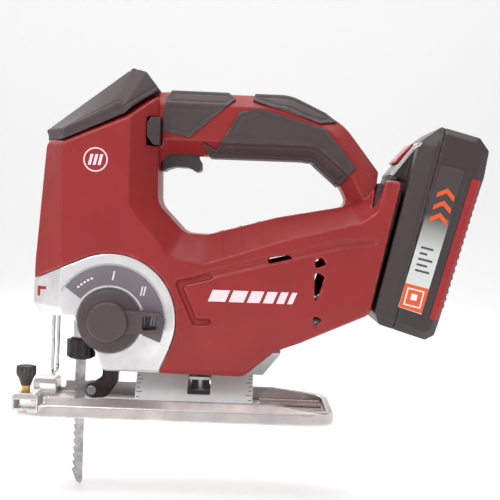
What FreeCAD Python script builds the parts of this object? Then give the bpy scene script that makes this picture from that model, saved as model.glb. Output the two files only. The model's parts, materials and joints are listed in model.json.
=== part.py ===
import FreeCAD, Part
import math
import os
import re
import Sketcher
from FreeCAD import Placement, Rotation, Vector

# Cordless jigsaw. Millimetres. The origin is on the underside of the sole, half way along it and
# in the plane of the blade. +X points to the battery, +Z up, and -Y is the side with the orbit dial.

doc = FreeCAD.newDocument("Jigsaw")

# ---------------------------------------------------------------- driving dimensions

driving = {
    # sole and its hump
    "sole_length": 165, "sole_width": 77, "sole_floor": 3, "rim_height": 6, "flange_height": 10,
    "hump_radius": 25, "hump_wall": 3, "hump_front": -22, "hump_length": 62, "clamp_x": 11.5,
    "bevel_clear": 40.2, "seat_gap": 0.3,
    # parallel fence
    "fence_bar_wide": 11.2, "fence_bar_thick": 4.4, "fence_block_wide": 17, "knob_x": -78,
    # housing
    "housing_half": 34, "shoulder_half": 19, "wall": 2.6, "handle_half": 17.5, "handle_flat": 10,
    "grip_thick": 1, "seam": 0.25,
    # drive train
    "motor_z": 58, "motor_radius": 21, "motor_front": -14, "motor_length": 58,
    "gear_module": 0.75, "pinion_teeth": 8, "gear_teeth": 56, "gear_face": 6, "gear_front": -36,
    "crank_radius": 12,
    # plunger, chuck and blade
    "plunger_x": -54, "plunger_low": 38, "bush_radius": 7, "chuck_radius": 7.8,
    "blade_front": -57.2, "blade_back": -51.2, "blade_thick": 1.2, "blade_tip": -42,
    # roller guide
    "roller_x": -47.2, "roller_z": 10, "arm_x": -35, "arm_z": 44,
    # dial
    "dial_x": -35.5, "dial_z": 50.5, "dial_radius": 16.2,
    # battery and its dock
    "dock_x": 100.2, "dock_z": 60, "dock_tilt": 12.5, "battery_half": 37.5, "battery_wall": 2.2,
    "pack_split": 12, "cell_radius": 9.15, "cell_length": 62, "cell_pitch": 18.6,
}

sheet = doc.addObject("Spreadsheet::Sheet", "Dims")
for row, (word, size) in enumerate(driving.items(), start=1):
    sheet.set("A%d" % row, word)
    sheet.set("B%d" % row, str(size))
    sheet.setAlias("B%d" % row, word)
doc.recompute()


def val(word):
    """The number behind an alias of the sheet."""
    return float(getattr(sheet, word))


gear_z = val("motor_z") + val("gear_module") * (val("gear_teeth") + val("pinion_teeth")) / 2
dock = Placement(Vector(val("dock_x"), 0, val("dock_z")), Rotation(Vector(0, 1, 0), val("dock_tilt")))

# ---------------------------------------------------------------- small tools

alias = re.compile(r"\b(" + "|".join(driving) + r")\b")
planes = {
    "XY": Rotation(),
    "XZ": Rotation(Vector(1, 0, 0), 90),       # drawn x to +X, y to +Z, thickness to -Y
    "YZ": Rotation(Vector(1, 1, 1), 120),      # drawn x to +Y, y to +Z, thickness to +X
}
axes = {"X": Rotation(Vector(0, 1, 0), 90), "Y": Rotation(Vector(1, 0, 0), -90), "Z": Rotation()}
parts = []


def bind(obj, **sizes):
    """Set properties: text is an expression on the sheet's words, a number is set as it is."""
    for prop, size in sizes.items():
        if isinstance(size, str):
            obj.setExpression(prop, alias.sub(r"Dims.\1", size))
        else:
            setattr(obj, prop, size)
    return obj


def at(obj, x, y, z, turn=None):
    """Place an object, each coordinate a number or an expression."""
    spot = [0 if isinstance(size, str) else size for size in (x, y, z)]
    obj.Placement = Placement(Vector(*spot), turn or Rotation())
    for name, size in zip("xyz", (x, y, z)):
        if isinstance(size, str):
            bind(obj, **{"Placement.Base." + name: size})
    return obj


def moved(obj, frame):
    """Carry an object that was placed by numbers into another frame."""
    obj.Placement = frame.multiply(obj.Placement)
    return obj


def spun(obj, x, z, degrees):
    """Turn an object about the line along X through x, z."""
    return moved(obj, Placement(Vector(x, 0, z), Rotation(Vector(1, 0, 0), degrees)))


def box(long, wide, high, x, y, z):
    """A block from its low corner."""
    return at(bind(doc.addObject("Part::Box"), Length=long, Width=wide, Height=high), x, y, z)


def rod(radius, long, x, y, z, axis="Z"):
    """A round bar that starts at x, y, z and runs along an axis."""
    bar = bind(doc.addObject("Part::Cylinder"), Radius=radius, Height=long)
    return at(bar, x, y, z, axes[axis])


def fuse(*solids):
    joined = doc.addObject("Part::MultiFuse")
    joined.Shapes = list(solids)
    joined.Refine = True
    return joined


def cut(solid, *tools):
    result = doc.addObject("Part::Cut")
    result.Base = solid
    result.Tool = tools[0] if len(tools) == 1 else fuse(*tools)
    result.Refine = True
    return result


def common(solid, tool):
    result = doc.addObject("Part::MultiCommon")
    result.Shapes = [solid, tool]
    result.Refine = True
    return result


def group(*solids):
    """Separate solids in one node."""
    several = doc.addObject("Part::Compound")
    several.Links = list(solids)
    return several


def mirrored(solid):
    twin = doc.addObject("Part::Mirroring")
    twin.Source = solid
    twin.Normal = Vector(0, 1, 0)
    return twin


def part(label, obj, frame=None):
    """Name a finished sub-part, which is written to its own file."""
    obj.Label = label
    if frame:
        moved(obj, frame)
    parts.append(obj)
    return obj


def rounded(points):
    """Line and arc edges of a closed outline whose points are (x, y) or (x, y, corner radius)."""
    tangents = []
    for i, point in enumerate(points):
        here = Vector(point[0], point[1], 0)
        radius = point[2] if len(point) > 2 else 0
        if not radius:
            tangents.append((here, None, here))
            continue
        before = Vector(*points[i - 1][:2], 0) - here
        after = Vector(*points[(i + 1) % len(points)][:2], 0) - here
        before.normalize()
        after.normalize()
        half = before.getAngle(after) / 2
        middle = before + after
        middle.normalize()
        reach = radius / math.tan(half)
        crown = here + middle * (radius / math.sin(half) - radius)
        tangents.append((here + before * reach, crown, here + after * reach))
    edges = []
    for i, (start, crown, end) in enumerate(tangents):
        if crown:
            edges.append(Part.Arc(start, crown, end))
        follow = tangents[(i + 1) % len(tangents)][0]
        if (follow - end).Length > 1e-6:
            edges.append(Part.LineSegment(end, follow))
    return edges


def draw(sketched, points):
    """Add a closed outline to a sketch and join its ends: a clockwise arc is kept end to start."""
    edges = rounded(points)
    sketched.addGeometry(edges, False)
    ends = []
    for edge in edges:
        clockwise = isinstance(edge, Part.Arc) and edge.toShape().Curve.Axis.z < 0
        ends.append((2, 1) if clockwise else (1, 2))
    for i, (start, end) in enumerate(ends):
        follow = (i + 1) % len(edges)
        sketched.addConstraint(Sketcher.Constraint("Coincident", i, end, follow, ends[follow][0]))
    return sketched


def sketch(points, plane="XZ", level=0):
    """A closed outline on a plane, moved by level along the plane's own normal."""
    drawn = doc.addObject("Sketcher::SketchObject")
    drawn.Placement = Placement(planes[plane].multVec(Vector(0, 0, level)), planes[plane])
    return draw(drawn, points)


def slab(points, thick, plane="XZ", level=0):
    """An outline given a thickness, which is a number or an expression."""
    solid = doc.addObject("Part::Extrusion")
    solid.Base = sketch(points, plane, level)
    solid.DirMode = "Normal"
    solid.Solid = True
    return bind(solid, LengthFwd=thick)


def blend(low_points, low, high_points, high, plane="XZ"):
    """A ruled solid between two outlines with the same number of points."""
    solid = doc.addObject("Part::Loft")
    solid.Sections = [sketch(low_points, plane, low), sketch(high_points, plane, high)]
    solid.Solid = True
    solid.Ruled = True
    return solid


def turned(profile, x, y, z, axis="Z"):
    """A lathe-turned piece: profile points are (radius, height) along its axis."""
    body = doc.addObject("PartDesign::Body")
    drawn = body.newObject("Sketcher::SketchObject", "Profile")
    side = [plane for plane in body.Origin.OriginFeatures if plane.Role == "XZ_Plane"][0]
    drawn.AttachmentSupport = [(side, "")]
    drawn.MapMode = "FlatFace"
    draw(drawn, profile)
    revolved = body.newObject("PartDesign::Revolution", "Turned")
    revolved.Profile = drawn
    revolved.ReferenceAxis = (drawn, ["V_Axis"])
    revolved.Angle = 360
    return at(body, x, y, z, axes[axis])


def grow(points, reach):
    """A polygon, drawn anticlockwise, with every edge moved out by reach."""
    lines = []
    for i, (x, y, *radius) in enumerate(points):
        nx, ny = points[(i + 1) % len(points)][:2]
        long = math.hypot(nx - x, ny - y)
        out = ((ny - y) / long, (x - nx) / long)
        lines.append((out, out[0] * x + out[1] * y + reach))
    grown = []
    for i, (x, y, *radius) in enumerate(points):
        (a, b), c = lines[i - 1]
        (d, e), f = lines[i]
        slope = a * e - b * d
        if abs(slope) < 1e-3:
            grown.append((x + a * reach, y + b * reach, *radius))
        else:
            grown.append(((c * e - b * f) / slope, (a * f - c * d) / slope, *radius))
    return grown


def between(first, second, share):
    """The outline a share of the way from one polygon to another."""
    return [(a + (c - a) * share, b + (d - b) * share, *radius)
            for (a, b, *radius), (c, d, *_) in zip(first, second)]


# ---------------------------------------------------------------- outlines of the housing

# the flat cheek at full width, and the outline that it swells to at the shoulders: a third number
# is a corner's radius
cheek = [
    (-54.5, 52), (-42.5, 34.6, 4), (-38.5, 24.5, 3), (34.5, 23.8, 8), (50.8, 37.5, 10),
    (63.7, 42.7), (98.5, 58.5, 4), (112.5, 127.5, 2), (104.5, 127.5, 2), (101, 111.6, 5),
    (93, 105.4, 8), (55, 95.5), (12, 81, 12), (-6, 84, 10), (-28, 110, 10), (-28.5, 156),
    (-63.3, 141, 5), (-61.2, 80), (-61.5, 56, 2), (-59.5, 52, 2),
]
shoulder = [
    (-56, 51.6), (-44.5, 34.2, 4), (-39.8, 23.2, 3), (35, 22.8, 8), (51.5, 36.2, 10),
    (64.5, 41), (99.5, 57, 4), (115.3, 128.3, 2), (106, 130.2, 2), (97, 118, 5),
    (88, 114.5, 8), (50, 107), (13, 96.5, 12), (1, 97, 8), (-13.4, 112, 10), (-15, 168),
    (-73, 142.2, 5), (-77.2, 79), (-77.4, 57, 3), (-73.5, 51.6, 3),
]
# the handle at its middle and at its narrow side face, and the hole for the fingers
handle = [
    (-40, 95), (104, 95), (114.6, 127.2), (104.8, 130.4, 8), (83.2, 157.9, 30),
    (54.4, 171.2, 25), (-15, 171.6, 12), (-28.6, 164.4), (-60, 148.5),
]
handle_side = [
    (-40, 95), (101, 95), (109, 122), (101, 127, 8), (79.5, 151.5, 24),
    (52.5, 164, 20), (-14, 164.5, 10), (-24, 160), (-56, 144),
]
finger_hole = [
    (-13.4, 112, 10), (1, 97, 8), (13, 96.5, 12), (50, 107), (88, 114.5, 4), (82.5, 125, 12),
    (66.5, 138.5, 14), (-9, 138.5, 3), (-13.5, 134, 3),
]
# the metal gear cover takes the lower front of the housing, round the dial and forward of it
cover_front = [
    (-90, 10), (-9.2, 10), (-9.2, 25.6), (-4.1, 37.5), (-35.5, 51), (-48.2, 82.5), (-90, 64.6),
]
cover_round = 34


def cover_region(gap):
    """The prism that the gear cover fills, wider by gap."""
    disc = rod(cover_round + gap, 80, "dial_x", -40, "dial_z+0.5", "Y")
    return fuse(slab(grow(cover_front, gap), 80, "XZ", -40), disc)


def sharp(points):
    """The same polygon without its corner radii."""
    return [point[:2] for point in points]


def housing_blank(inset):
    """The near half of the housing as a solid, smaller by inset all round; hollows are sharp."""
    half = val("housing_half")
    knee = val("shoulder_half")
    side = grow(between(cheek, shoulder, inset / (half - knee)), -1.2 * inset)
    full = grow(shoulder, -inset)
    if inset > 1:
        side, full = sharp(side), sharp(full)
    knee_in = knee - 0.4 * inset
    return fuse(slab(full, knee_in), blend(full, knee_in, side, half - inset))


def handle_blank(inset):
    """The near half of the handle's ring as a solid, smaller by inset, or larger if negative."""
    flat = val("handle_flat") - 0.4 * inset
    half = val("handle_half") - inset
    full = grow(handle, -inset)
    side = grow(handle_side, -0.6 * inset)
    hole = grow(finger_hole, inset)
    wide_hole = grow(finger_hole, 0.6 * inset + 8.5)
    ring = fuse(slab(full, flat), blend(full, flat, side, half))
    return cut(ring, slab(hole, flat), blend(hole, flat, wide_hole, half + 1))


def bevel_space(radius):
    """The space that the tilting sole sweeps under the housing."""
    return rod(radius, 190, -95, 0, 0, "X")


# ---------------------------------------------------------------- housing shells and covers

# housing screws: x, z and how far out the head sits
screws = [(-67, 134, 20), (-22.5, 130, 20), (93, 121, 11.5), (62, 157, 11.5), (76, 60, 20)]


def cheek_cuts():
    """What is cut into a cheek: vents, the frame of the raised panel and a sunk slot."""
    half = val("housing_half")
    vents = [
        [(69.6, 85.8), (69.9, 81.4), (75.4, 83.4), (73.2, 86.8)],
        [(69.6, 79.3), (70.3, 61.1), (74.8, 77.4)],
        [(69.8, 56.7), (70.3, 50.6), (74.4, 55)],
    ]
    cuts = [slab(outline, 5, "XZ", half - 4) for outline in vents]
    panel = [(9.4, 52.7, 2), (66.5, 55.6), (66.5, 87), (45.3, 81.8), (10.4, 72.2), (1.5, 70, 2)]
    groove = cut(slab(grow(panel, 2.9), 4, "XZ", half - 1.8), slab(panel, 4, "XZ", half - 1.8))
    cuts.append(common(groove, box(25, 60, 60, -8, -50, 40)))
    channel = [
        (9.4, 72.4), (45.3, 82.2), (68.2, 88.1), (82.1, 91.9), (101, 95), (101, 97.2), (81.9, 95.8),
        (54.5, 87.9), (44.5, 86), (9.7, 75.8),
    ]
    cuts.append(slab(channel, 4, "XZ", half - 1.1))
    cuts.append(slab([(45.6, 82.9), (59.2, 86.3), (54.4, 87.4), (45.5, 85.8)], 8, "XZ", half - 4.5))
    return cuts


def near_half():
    """A hollow half with its floor over the sole, its screw posts and the dock's window."""
    solid = fuse(housing_blank(0), handle_blank(0))
    hollow = cut(housing_blank(val("wall")), bevel_space("bevel_clear+wall"))
    shell = cut(cut(solid, hollow), handle_blank(val("wall")))
    posts = common(group(*[rod(4.2, 33.9, x, -33.9, z, "Y") for x, z, out in screws]), solid)
    dock_window = moved(box(15, 56.6, 90, -13.2, -28.3, 3.2), dock)
    foot_window = box(102, 31.8, 12, -46, -15.9, 34)
    trigger_hole = box(22.4, 18.8, 14, -13.3, -9.4, 130)
    chuck_notch = rod("chuck_radius+0.6", 20, "plunger_x", 0, 31.5)
    return cut(fuse(shell, posts), bevel_space("bevel_clear"), dock_window,
               foot_window, trigger_hole, chuck_notch)


half_shell = near_half()
near_housing = cut(cut(half_shell, cover_region(val("seam"))), *cheek_cuts())
pilots = [rod(2, 8, x, -8, z, "Y") for x, z, out in screws]
lock_hole = box(7.4, 20, 14.8, -20.4, -32, 142.1)
part("housing_left", cut(near_housing, lock_hole, *pilots))
shank_holes = [rod(2, 30, x, -0.1, z, "Y") for x, z, out in screws]
head_seats = [rod(3.9, 30, x, out - 0.05, z, "Y") for x, z, out in screws]
part("housing_right", cut(mirrored(near_housing), *shank_holes, *head_seats))

near_cover = cut(common(half_shell, cover_region(0)),
                 rod("bush_radius+0.1", 30, "plunger_x", 0, 45))
guard_sockets = [rod(1.1, 3, -68, side * 8.6, 49.5) for side in (-1, 1)]
dial_hole = rod(5.3, 12, "dial_x", -40, "dial_z", "Y")
dial_seat = rod("dial_radius+0.6", 4, "dial_x", -37.3, "dial_z", "Y")
part("gear_cover_left", cut(near_cover, guard_sockets[0], dial_hole, dial_seat))
part("gear_cover_right", cut(mirrored(near_cover), guard_sockets[1]))


def housing_screw(x, z, out):
    """Self-tapping screw with a socket in its head, from 7 mm past the joint to its seat."""
    tip = -7
    long = out - tip
    profile = [(0, 0), (1.9, 1.5), (1.9, long), (3.5, long, 0.2), (3.5, long + 3),
               (1.6, long + 3), (1.6, long + 1.2), (0, long + 1.2)]
    return turned(profile, x, tip, z, "Y")


part("housing_screws", group(*[housing_screw(*screw) for screw in screws]))

# the soft cap on the nose
cap_mid = [
    (-73, 142.6), (-28.6, 165), (-15, 172.3), (-22.5, 181.6), (-29.5, 183.4), (-74.3, 148.6),
]
cap_side = [
    (-63, 143), (-31, 157.6), (-29.5, 160.2), (-31, 163), (-35.5, 162.4), (-62, 149.2),
]
cap_half = fuse(slab(cap_mid, 13), blend(cap_mid, 13, cap_side, 32))
cap_bare = cut(cap_half, fuse(housing_blank(-0.05), handle_blank(-0.05)))
part("nose_pad", fuse(cap_bare, mirrored(cap_bare)))

# soft grip panels on the handle
palm = [
    (8.4, 145.1), (12.9, 137), (67, 137), (81, 123.6), (90.1, 134.4), (73.5, 154.3),
    (37.3, 164.1), (27.9, 161.6), (16, 141.2),
]
web = [(-11.3, 168.5), (-12.8, 150.7), (1.5, 147), (25.6, 168.6), (20, 174), (-8, 174)]
crest = [(34.5, 168.6), (39.3, 166.6), (70.4, 157.2), (80, 158.5), (64.8, 170), (50, 174), (36, 174)]
grip_skin = cut(cut(handle_blank(-val("grip_thick")), handle_blank(0)), housing_blank(0))
near_grip = group(common(grip_skin, slab(palm, 40)), common(grip_skin, slab(web, 40)))
crest_half = common(grip_skin, slab(crest, 40))
part("grip_left", near_grip)
part("grip_right", mirrored(near_grip))
part("grip_crest", fuse(crest_half, mirrored(crest_half)))

# ---------------------------------------------------------------- gear case, foot and bevel clamp


def gear_case():
    """Cast frame that carries the plunger bushes, the gear's axle and the front bearing."""
    frame = fuse(box(43, 52, 62.6, -66, -26, 55.4), box(4, 24, 20, -27, -12, 46))
    inside = box(36, 46, 45.2, -63, -23, 59.8)
    slim = [box(48, 16, 40, -70, y, 100) for y in (14, -30)]
    lugs = fuse(box(10, 3, 15, -40, 5, 40), box(10, 3, 15, -40, -8, 40))
    pinion_room = rod(6, 13.5, -40, 0, "motor_z", "X")
    bearing_seat = rod(8, 10, -28, 0, "motor_z", "X")
    axle_seat = rod(3.05, 10, -30, 0, gear_z, "X")
    pin_hole = rod(2.05, 30, "arm_x", -15, "arm_z", "Y")
    bores = rod("bush_radius", 90, "plunger_x", 0, 45)
    return cut(fuse(cut(frame, inside, *slim), lugs), pinion_room, bearing_seat, axle_seat,
               pin_hole, bores)


part("gear_case", gear_case())
bush = [(4.55, 0), (6.95, 0), (6.95, 9.4), (4.55, 9.4)]
part("lower_bush", turned(bush, "plunger_x", 0, 52))
part("upper_bush", turned(bush, "plunger_x", 0, 106))
part("gear_axle", rod(3, 17, -38, 0, gear_z, "X"))
bearing = [(2.55, 0), (7.95, 0, 0.3), (7.95, 5, 0.3), (2.55, 5)]
part("front_bearing", turned(bearing, -27.5, 0, "motor_z", "X"))


def bevel_foot():
    """Cast neck under the motor: its hollow seat turns on the hump of the sole."""
    neck = [(-11.4, 20), (11.4, 20), (17.4, 35), (15.6, 36.4), (15.6, 39.8), (-15.6, 39.8),
            (-15.6, 36.4), (-17.4, 35)]
    seat = rod("hump_radius+seat_gap", 80, -30, 0, 0, "X")
    cradle = rod("motor_radius+0.3", 80, -30, 0, "motor_z", "X")
    heel = slab([(36, 10), (60, 10), (60, 42.5)], 60, "XZ", -30)
    return cut(slab(neck, 74, "YZ", -20), seat, cradle, heel, rod(3.1, 30, "clamp_x", 0, 20))


part("bevel_foot", bevel_foot())
clamp_screw = [(0, -1), (2.2, -1), (2.2, -4), (5, -4, 0.5), (5, 2), (3, 2), (3, 19.6), (0, 19.6)]
part("bevel_screw", turned(clamp_screw, "clamp_x", 0, 16.2))


def bevel_washer():
    """Curved saddle under the hump's wall, square to the clamp screw."""
    crown = common(box(16, 18, 8, 3.5, -9, 18.3), rod("hump_radius-hump_wall-0.3", 30, 0, 0, 0, "X"))
    return cut(crown, rod(3.1, 30, "clamp_x", 0, 10))


part("bevel_washer", bevel_washer())

# ---------------------------------------------------------------- motor and gear train

can = [(8, 0), (21, 0, 1.5), (21, 58, 0.5), (19, 58), (19, 1.6), (8, 1.6)]
part("motor_can", turned(can, "motor_front", 0, "motor_z", "X"))
end_cap = [(8, 0), (20.9, 0), (20.9, 3), (15, 9), (9.5, 9), (9.5, 12), (8, 12)]
part("brush_cap", turned(end_cap, "motor_front+motor_length", 0, "motor_z", "X"))
part("rear_bearing", turned(bearing, 50, 0, "motor_z", "X"))


def spur_gear(teeth, face, x, z, turn):
    """A toothed disc along X, one tooth at the angle turn."""
    module = val("gear_module")
    pitch = module * teeth / 2
    root = pitch - 1.2 * module
    tip = pitch + 0.95 * module
    flanks = ((-0.39, root), (-0.21, pitch), (-0.10, tip), (0.10, tip), (0.21, pitch), (0.39, root))
    outline = []
    for tooth in range(int(teeth)):
        for share, radius in flanks:
            angle = 2 * math.pi * (tooth + share) / teeth + turn
            outline.append((radius * math.cos(angle), z + radius * math.sin(angle)))
    return slab(outline, face, "YZ", x)


def main_gear():
    """Large gear with its hub, six lightening holes less the one that the crank pin takes."""
    disc = spur_gear(val("gear_teeth"), val("gear_face"), val("gear_front"), gear_z, -math.pi / 2)
    hub = rod(7, 8, -37, 0, gear_z, "X")
    holes = []
    for step in (1, 2, 3, 4, 5):
        angle = math.radians(60 * step)
        holes.append(rod(3.4, 20, -45, 12.5 * math.cos(angle), gear_z + 12.5 * math.sin(angle), "X"))
    return cut(fuse(disc, hub), rod(3.05, 30, -45, 0, gear_z, "X"),
               rod(2.5, 30, -45, "crank_radius", gear_z, "X"), *holes)


part("main_gear", main_gear())
pin_profile = [(0, 0), (4, 0, 0.4), (4, 6.4), (2.5, 6.4), (2.5, 12.4), (0, 12.4)]
part("crank_pin", turned(pin_profile, -42.5, "crank_radius", gear_z, "X"))
pinion = spur_gear(val("pinion_teeth"), 9, -37.5, val("motor_z"),
                   math.pi / 2 + math.pi / val("pinion_teeth"))
part("pinion", cut(pinion, rod(1.8, 30, -45, 0, "motor_z", "X")))
shaft = [(0, 0), (1.75, 0), (1.75, 9.6), (2.5, 9.6), (2.5, 94), (0, 94)]
part("rotor_shaft", turned(shaft, -38, 0, "motor_z", "X"))


def armature():
    """Laminated core with winding slots and its two end windings."""
    core = rod(17.6, 32, -2, 0, "motor_z", "X")
    slots = [spun(box(60, 3, 6, -10, -1.5, 14.4), 0, val("motor_z"), 30 * k) for k in range(12)]
    coils = rod(14.2, 39, -6, 0, "motor_z", "X")
    return cut(fuse(cut(core, *slots), coils), rod(2.5, 90, -20, 0, "motor_z", "X"))


part("armature", armature())
commutator = [(2.5, 0), (9, 0), (9, 9.6), (7.5, 9.6), (7.5, 12), (2.5, 12)]
part("commutator", turned(commutator, 33.2, 0, "motor_z", "X"))


def fan():
    """Cooling fan behind the front bearing: a disc, a hub and eleven blades."""
    disc = rod(15, 1.2, -21.5, 0, "motor_z", "X")
    hub = rod(5, 5, -21.5, 0, "motor_z", "X")
    blades = [spun(box(4.5, 1, 10.4, -20.8, -0.5, 4.5), 0, val("motor_z"), 360 * k / 11)
              for k in range(11)]
    return cut(fuse(disc, hub, *blades), rod(2.5, 90, -50, 0, "motor_z", "X"))


part("cooling_fan", fan())

# ---------------------------------------------------------------- plunger, chuck and blade

rod_profile = [(0, 0), (4.5, 0), (4.5, 84, 0.6), (0, 84)]
part("plunger", turned(rod_profile, "plunger_x", 0, "plunger_low"))


def yoke():
    """Slotted crosshead clamped round the plunger."""
    plate = box(5, 40, 15, -48, -20, gear_z - 7.5)
    sleeve = rod(7, 11, "plunger_x", 0, gear_z - 5.5, "Z")
    bridge = box(8, 10, 11, -54, -5, gear_z - 5.5)
    slot = fuse(box(12, 24, 8.6, -49, -12, gear_z - 4.3), rod(4.3, 12, -49, 12, gear_z, "X"),
                rod(4.3, 12, -49, -12, gear_z, "X"))
    return cut(fuse(plate, sleeve, bridge), slot, rod(4.5, 60, "plunger_x", 0, 50, "Z"))


part("yoke", yoke())
chuck = [(0, 0), (4.4, 0), (5.6, 1.5), (5.6, 11.8), (0, 11.8)]
part("chuck", cut(turned(chuck, "plunger_x", 0, 26.2), box(6.4, 1.3, 10, -57.4, -0.65, 26)))
collar = [(5.9, 0), (7.8, 1.2, 0.4), (7.8, 10.2, 0.4), (7.2, 10.6), (5.9, 10.6)]
collar_knurl = [moved(rod(0.9, 30, 8.1, 0, 10), Placement(Vector(val("plunger_x"), 0, 0),
                                                         Rotation(Vector(0, 0, 1), 36 * k + 18)))
                for k in range(10)]
part("chuck_collar", cut(turned(collar, "plunger_x", 0, 26.6), *collar_knurl))


def blade():
    """Wood-cutting blade: straight back, toothed front edge, slanted tip, plain shank."""
    tip = val("blade_tip")
    front = val("blade_front")
    back = val("blade_back")
    tooth = 4
    teeth = int((14 - (tip + 8)) / tooth)
    edge = []
    for k in range(teeth):
        low = tip + 8 + tooth * k
        edge += [(front, low), (front + 1.5, low + 0.9), (front + 0.25, low + tooth - 0.15)]
    outline = [(back - 1.2, tip), (back, tip + 1.5), (back, 36), (front + 0.4, 36),
               (front + 0.4, tip + 8 + tooth * teeth)]
    outline += list(reversed(edge)) + [(back - 3.2, tip + 1.5)]
    return slab(outline, "blade_thick", "XZ", -0.6)


part("saw_blade", blade())

# ---------------------------------------------------------------- roller guide behind the blade


def pendulum_arm():
    """Curved arm from its pivot to a fork that holds the roller."""
    outline = [
        (-30.6, 47.4, 3), (-39.4, 47.4, 3), (-41.2, 34), (-41.6, 17.6, 3), (-45, 14.9, 2), (-49.6, 13, 2),
        (-50.4, 8.4, 2), (-46.6, 5.6, 2), (-38.6, 6.2, 6), (-33.4, 14.4, 5), (-33, 20.4), (-32, 33),
    ]
    plate = slab(outline, 9.2, "XZ", -4.6)
    fork = slab([(-56, 2), (-41.6, 2), (-41.6, 16.2), (-56, 16.2)], 5.4, "XZ", -2.7)
    pivot = rod(2.05, 30, "arm_x", -15, "arm_z", "Y")
    axle = rod(1.5, 30, "roller_x", -15, "roller_z", "Y")
    return cut(plate, fork, pivot, axle)


part("pendulum_arm", pendulum_arm())
part("arm_pin", rod(2, 17.6, "arm_x", -8.8, "arm_z", "Y"))
pin = [(0, 0), (2.5, 0, 0.3), (2.5, 0.7), (1.5, 0.7), (1.5, 10.1), (2.5, 10.1), (2.5, 10.8, 0.3), (0, 10.8)]
part("roller_pin", turned(pin, "roller_x", -5.4, "roller_z", "Y"))
roller = [(1.55, 0), (4.65, 0, 0.2), (4.65, 1.5), (3.6, 1.5), (3.6, 3.3), (4.65, 3.3), (4.65, 4.8, 0.2),
          (1.55, 4.8)]
part("support_roller", turned(roller, "roller_x", -2.4, "roller_z", "Y"))

# ---------------------------------------------------------------- orbit dial


def orbit_dial():
    """Round base, hub and lever with an open window, turned about Y."""
    base = turned([(0, 0), (10.2, 0, 1.4), (10.7, 6), (16.2, 7.4, 1), (16.2, 11), (0, 11)], "dial_x",
                  -45, "dial_z", "Y")
    lever = slab([(-35.5, 44.2), (-8.5, 45.2, 2), (-6.5, 50.5, 3), (-8.5, 55.8, 2), (-35.5, 56.8)], 7.4,
                 "XZ", 35.4)
    window = slab([(-17.5, 46.8, 1), (-10.6, 47.2, 1), (-9.6, 50.5, 1), (-10.6, 53.8, 1),
                   (-17.5, 54.2, 1)], 12, "XZ", 33)
    spindle = rod(5, 7, "dial_x", -34.2, "dial_z", "Y")
    return fuse(cut(fuse(base, lever), window), spindle)


part("orbit_dial", orbit_dial())


def dial_scale():
    """Sunk arc plate with the four orbit settings."""
    ring = cut(rod(28.4, 0.8, "dial_x", -34.8, "dial_z", "Y"), rod(18.5, 3, "dial_x", -36, "dial_z", "Y"))
    fan_angles = [math.radians(a) for a in (-21.5, 20, 60, 102, 144)]
    sector = [(val("dial_x"), val("dial_z"))]
    sector += [(val("dial_x") + 45 * math.cos(a), val("dial_z") + 45 * math.sin(a)) for a in fan_angles]
    return common(ring, slab(sector, 6, "XZ", 32))


part("dial_scale", dial_scale())

# ---------------------------------------------------------------- trigger, switch and lock button

trigger_outline = [
    (-12.8, 128.2, 0.8), (-10.6, 130.4, 2), (-6, 132, 5), (1.6, 131.8, 4), (6, 129.4, 1.5), (8.5, 130.6, 1.2),
    (8.3, 134.6, 1), (6.5, 137.4), (6.5, 150), (-12.6, 150),
]
part("trigger", slab(trigger_outline, 18, "XZ", -9))
part("switch_module", fuse(box(34, 16, 17, 10, -8, 143.2), box(3, 8, 8, 7.2, -4, 152)))
key_outline = [(-13.3, 142.4), (-16.6, 142.4), (-20.1, 147), (-20.1, 154), (-18.2, 156.6), (-13.3, 156.6)]
part("lock_button", slab(key_outline, 15, "XZ", 11))

# ---------------------------------------------------------------- dock for the battery


def battery_dock():
    """T-shaped channel that the battery slides down into."""
    block = box(12.6, 56, 62, -12.8, -28, 3.6)
    channel = fuse(box(4.6, 46.8, 90, -8, -23.4, 5.2), box(6, 36.8, 90, -3.6, -18.4, 5.2))
    return cut(block, channel, *contact_shapes(0.05))


def contact_shapes(gap):
    """Three flat blades that stand up from the foot of the channel."""
    return [box(2 + 2 * gap, 1 + 2 * gap, 18.6, -6.8 - gap, y - 0.5 - gap, 1.2) for y in (-14, 0, 14)]


part("battery_dock", battery_dock(), dock)
part("dock_contacts", group(*contact_shapes(0)), dock)

# ---------------------------------------------------------------- battery

pack_mid = [
    (1, 0), (4.7, -5.5), (29.7, -7.3), (33.7, -3.7), (34.2, 3.4), (36.8, 66), (37.8, 81), (36.9, 95),
    (30.6, 100.4), (10, 101), (1, 90.6),
]
pack_side = [
    (8.5, 2), (9, -1.5), (27.5, -4), (30.4, -1.6), (31, 4.4), (33.4, 66), (34.4, 80.5), (33.6, 93),
    (29, 97), (12, 97.6), (9.5, 89.5),
]


def pack_blank(inset):
    """The battery as a solid about its middle plane, smaller by inset."""
    knee = 34 - 0.4 * inset
    half = val("battery_half") - inset
    full = grow(pack_mid, -inset)
    side = grow(pack_side, -0.8 * inset)
    near = fuse(slab(full, knee), blend(full, knee, side, half))
    return fuse(near, mirrored(near))


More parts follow.
